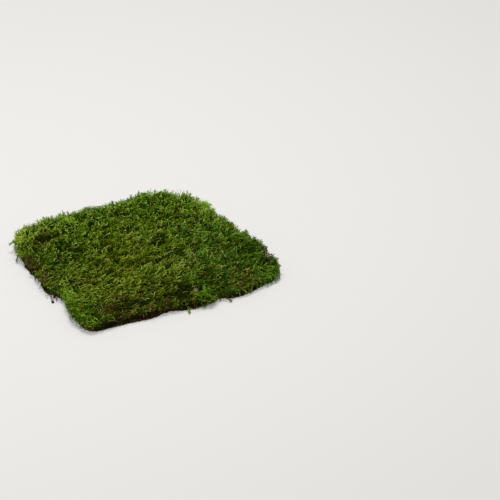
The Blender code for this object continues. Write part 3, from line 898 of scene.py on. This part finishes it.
def bent_stalk(number, thickness, kink, finish):
    """A flattened, tapered bit of stalk along its solid, kinked once, its ends pushed into the moss."""
    middle, axes, places = own_axes(f"dry_stalk_{number}")
    way = axes[0]
    half = np.abs((places - middle) @ way).max()
    bpy.ops.object.select_all(action="DESELECT")
    bpy.ops.mesh.primitive_cylinder_add(vertices=8, radius=1.0, depth=2.0)
    stalk = bpy.context.object
    stalk.name = f"dry_grass_{number}"
    bpy.ops.object.mode_set(mode="EDIT")
    bpy.ops.mesh.select_mode(type="EDGE")
    bpy.ops.mesh.select_all(action="DESELECT")
    bpy.ops.object.mode_set(mode="OBJECT")
    for edge in stalk.data.edges:
        first, second = (stalk.data.vertices[index].co for index in edge.vertices)
        edge.select = abs(first.z - second.z) > 1.0
    bpy.ops.object.mode_set(mode="EDIT")
    bpy.ops.mesh.subdivide(number_cuts=13)
    bpy.ops.object.mode_set(mode="OBJECT")
    across = np.array([-way[1], way[0], 0.0])
    for vert in stalk.data.vertices:
        x, y, t = vert.co
        radius = 0.5 * thickness * MM * (1.0 - 0.30 * (t + 1.0) / 2.0) * (1.0 + 0.12 * math.sin(9.0 * t))
        aside = kink * MM * (1.0 - abs(t - 0.25) / 1.25) + radius * x
        above = 0.75 * radius * y - 1.5 * MM * abs(t) ** 5
        vert.co = middle + way * t * half + across * (aside - 0.5 * kink * MM) + np.array([0.0, 0.0, above])
    bpy.ops.object.mode_set(mode="EDIT")
    bpy.ops.mesh.select_all(action="SELECT")
    bpy.ops.mesh.normals_make_consistent(inside=False)
    bpy.ops.object.mode_set(mode="OBJECT")
    bpy.ops.object.shade_smooth_by_angle(angle=math.radians(50))
    stalk.data.materials.append(finish)
    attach(stalk, "root")
    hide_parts(f"dry_stalk_{number}")


def papery_husk(finish):
    """A thin round scale, cupped towards its face, with a wavy rim, set as its solid is."""
    middle, axes = own_axes("seed_husk")[:2]
    facing = Vector(axes[2]) if axes[2][2] > 0.0 else -Vector(axes[2])
    leaning = Vector((0.0, 0.0, 1.0)).rotation_difference(facing)
    bpy.ops.object.select_all(action="DESELECT")
    bpy.ops.mesh.primitive_uv_sphere_add(segments=32, ring_count=16, radius=1.0)
    husk = bpy.context.object
    husk.name = "papery_husk"
    for vert in husk.data.vertices:
        x, y, z = vert.co
        out = math.hypot(x, y)
        turn = math.atan2(y, x)
        wavy = 1.0 + out ** 2 * (0.05 * math.sin(3.0 * turn + 0.7) + 0.03 * math.sin(8.0 * turn))
        dished = 0.75 * out ** 3 - 0.35 + 0.10 * out * math.sin(5.0 * turn)
        shaped = Vector((2.75 * x * wavy - 1.3, 2.55 * y * wavy - 0.3, 0.34 * z + dished)) * MM
        vert.co = Vector(middle) + leaning @ shaped
    bpy.ops.object.shade_smooth()
    husk.data.materials.append(finish)
    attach(husk, "root")
    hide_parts("seed_husk")


straw = mottled_finish("bleached_straw", 0.60, 0.25, (900.0, 3.0, 0.5),
                       ((0.36, (0.16, 0.195, 0.066)), (0.62, (0.345, 0.40, 0.18))), (0.4, 0.0002))
bent_stalk(1, 0.75, 0.9, straw)
bent_stalk(2, 1.10, -0.5, straw)
bent_stalk(3, 0.90, 0.8, straw)
papery_husk(mottled_finish("husk_paper", 0.65, 0.25, (620.0, 3.0, 0.5),
                           ((0.36, (0.095, 0.068, 0.034)), (0.62, (0.205, 0.160, 0.088))), (0.4, 0.0002)))


# Dead stems, rootlets and soil
# Bare stems of old moss: pale dry ones caught among the living shoots, and dark rootlets and crumbs of
# soil that stand out of the side of the humus. All are thin threads or grains, joined into two pieces.

def thread_pattern(rings, root_radius, tip_radius):
    """A bare stem of three sides, with its radius in mm, to be laid along a curve as a shoot is."""
    points = []
    for ring in range(rings):
        along = ring / (rings - 1)
        radius = root_radius + (tip_radius - root_radius) * along
        for side in range(3):
            points.append((along, 0.0, radius, side * 2.0 * math.pi / 3.0, 0.006 * side, 0.05 + 0.9 * along))
    return np.array(points), np.array(stem_faces(0, rings))


def threads(start, way, up, length, bow, draw):
    """Curved bare stems from each start, along each way."""
    count = len(start)
    long = draw.uniform(*length, (count, 1)) * MM
    across = np.cross(up, way)
    end = start + unit(way) * long
    middle = 0.5 * (start + end) + across * long * draw.normal(0.0, bow, (count, 1)) + up * 0.06 * long
    return {"root": start, "middle": middle, "tip": end, "up": up, "size": draw.uniform(0.7, 1.3, count),
            "twist": any_twist(count, draw), "hue": draw.uniform(0.05, 0.95, count)}


def grains(place, size, draw):
    """Lumpy crumbs of soil: small irregular solids of twenty faces."""
    bpy.ops.mesh.primitive_ico_sphere_add(subdivisions=1, radius=1.0)
    ball = bpy.context.object
    corner = np.array([vert.co for vert in ball.data.vertices])
    face = np.array([tuple(polygon.vertices) for polygon in ball.data.polygons])
    bpy.data.objects.remove(ball)
    count = len(place)
    turned = corner[None] + draw.normal(0.0, 0.22, (count, len(corner), 3))
    body = turned * draw.uniform(0.6, 1.2, (count, 1, 3)) * draw.uniform(*size, (count, 1, 1)) * MM
    co = place[:, None] + body
    co[..., 2] = np.maximum(co[..., 2], 0.15 * MM)
    faces = face[None] + (np.arange(count) * len(corner))[:, None, None]
    tone = draw.uniform(0.05, 0.9, (count, 1)) + 0.02 * corner[None, :, 0] + 0.007 * corner[None, :, 2]
    second = np.broadcast_to(0.5 + 0.1 * corner[None, :, 1] + 0.04 * corner[None, :, 2], tone.shape)
    return co.reshape(-1, 3), faces.reshape(-1, 3), np.stack([tone, second], -1).reshape(-1, 2)


def thread_finish(name, dark, pale):
    """Dull bare stem, from dark to pale by the thread's own place in the colour map."""
    bare_stem, nodes, links, shader = dull_material(name, 0.75)
    tint = colour_ramp(nodes, ((0.0, dark), (1.0, pale)))
    links.new(colour_places(nodes, links).outputs["X"], tint.inputs["Fac"])
    links.new(tint.outputs["Color"], shader.inputs["Base Color"])
    return bare_stem


def sides_of_slab(middle, normal):
    """The humus layer's steep sides, all round the mat."""
    inward = rim_near(middle)[0]
    return ((np.abs(normal[:, 2]) < 0.7) & (inward < 14.0 * MM)).astype(float)


draw = np.random.default_rng(23)
top_start, top_up = scatter(carpet, 2500, 13.0 * MM, draw, all_but_underside)
top_way = comb_direction(top_start, draw) + 0.3 * draw.normal(0.0, 1.0, top_start.shape)
top_way = top_way - np.einsum("ij,ij->i", top_way, top_up)[:, None] * top_up
pale_stems = threads(top_start - top_up * 0.6 * MM, top_way, top_up, (5.0, 13.0), 0.12, draw)
pale_stems = picked(pale_stems, worn_share(pale_stems["middle"]) < 0.85)
for part in ("root", "middle", "tip"):
    spot = pale_stems[part]
    spot[:, 2] = np.minimum(spot[:, 2], top_height(spot, spot[:, 2]) + 0.5 * MM)
# Two broken stems lie across the worn place at the front, from end to end in mm.
ends = np.array([((-7.0, -118.5, 10.5), (-0.5, -127.5, 5.5)),
                 ((7.5, -120.0, 11.0), (15.5, -124.5, 9.0))]) * MM
broken_stems = {"root": ends[:, 0], "middle": ends.mean(axis=1) + np.array([0.0, 0.0, 1.2 * MM]),
                "tip": ends[:, 1], "up": np.tile((0.0, -0.6, 0.8), (2, 1)), "size": np.array([1.5, 1.3]),
                "twist": np.zeros(2), "hue": np.array([0.75, 0.35])}
dry_stems = joined_mesh("dry_moss_stems", [
    lay_shoots(thread_pattern(5, 0.30, 0.16), pale_stems),
    lay_shoots(thread_pattern(5, 0.34, 0.26), broken_stems)])
dry_stems.data.materials.append(thread_finish("dead_stem", (0.14, 0.16, 0.04), (0.40, 0.41, 0.15)))
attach(dry_stems, "root")

slab = surface_of("humus_layer")
root_start, root_up = scatter(slab, 6000, 3.2 * MM, draw, sides_of_slab)
root_way = root_up * 0.5 + draw.normal(0.0, 0.6, root_start.shape) + np.array([0.0, 0.0, -0.15])
rootlets = threads(root_start - root_up * 1.0 * MM, root_way, root_up, (1.4, 2.7), 0.25, draw)
rootlets = picked(rootlets, draw.random(len(root_start)) > 1.4 * leafy_side(root_start))
for part in ("root", "middle", "tip"):
    rootlets[part][:, 2] = np.clip(rootlets[part][:, 2], 0.5 * MM, 12.0 * MM)
grain_place, grain_up = scatter(slab, 9000, 1.5 * MM, draw, sides_of_slab)
soil_grains = grains(grain_place + grain_up * 0.5 * MM, (0.5, 1.25), draw)
# A crumb of soil hangs from the left side on a few rootlets: its lumps, and each rootlet's two ends, in mm.
crumb_place = np.array([(-146.6, -30.6, 1.7), (-145.2, -31.6, 1.3), (-146.2, -32.4, 1.0)]) * MM
crumb_roots = np.array([
    (-145.4, -20.0, 6.0), (-143.5, -20.5, 6.0), (-141.0, -22.0, 6.0), (-138.6, -29.0, 6.0),
    (-138.0, -30.5, 5.5), (-149.0, -15.0, 5.0), (-147.5, -17.0, 5.0)]) * MM
crumb_ends = np.array([
    (-145.9, -30.0, 2.2), (-145.2, -30.5, 2.0), (-144.4, -31.0, 1.6), (-141.4, -32.0, 1.0),
    (-141.6, -31.5, 1.4), (-150.2, -19.0, 1.6), (-149.0, -21.5, 1.2)]) * MM
straight_up = np.tile((0.0, 0.0, 1.0), (7, 1))
hanging = threads(crumb_roots, crumb_ends - crumb_roots, straight_up, (9.0, 11.0), 0.06, draw)
hanging["tip"] = crumb_ends
hanging["size"] = np.array([1.9, 1.5, 1.2, 2.2, 1.6, 1.0, 0.9])
hanging["hue"] = np.array([0.10, 0.35, 0.60, 0.02, 0.10, 0.25, 0.30])
crumb_grains = grains(crumb_place, (1.5, 1.9), draw)
crumb_grains[2][:, 0] *= 0.12
# Lumps of soil stick out along the foot of the front and left sides: places in mm.
lump_place = np.array([
    (-47.5, -119.2, 1.8), (-43.4, -119.8, 1.5), (-51.5, -118.6, 1.3), (-45.6, -120.3, 1.0),
    (-97.0, -119.4, 1.4), (-113.0, -117.4, 1.3), (-26.0, -121.6, 1.2), (-139.6, -22.0, 1.6),
    (-142.6, 36.0, 1.5), (-143.6, 43.0, 1.8), (-142.2, 56.0, 1.3), (-134.8, -52.0, 1.3)]) * MM
lumps = grains(lump_place, (1.5, 2.3), draw)
soil = joined_mesh("rootlets_and_crumbs", [
    lay_shoots(thread_pattern(4, 0.26, 0.12), rootlets), soil_grains,
    lay_shoots(thread_pattern(4, 0.30, 0.20), hanging), crumb_grains, lumps])
soil.data.materials.append(thread_finish("soil_thread", (0.009, 0.006, 0.002), (0.10, 0.070, 0.024)))
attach(soil, "root")
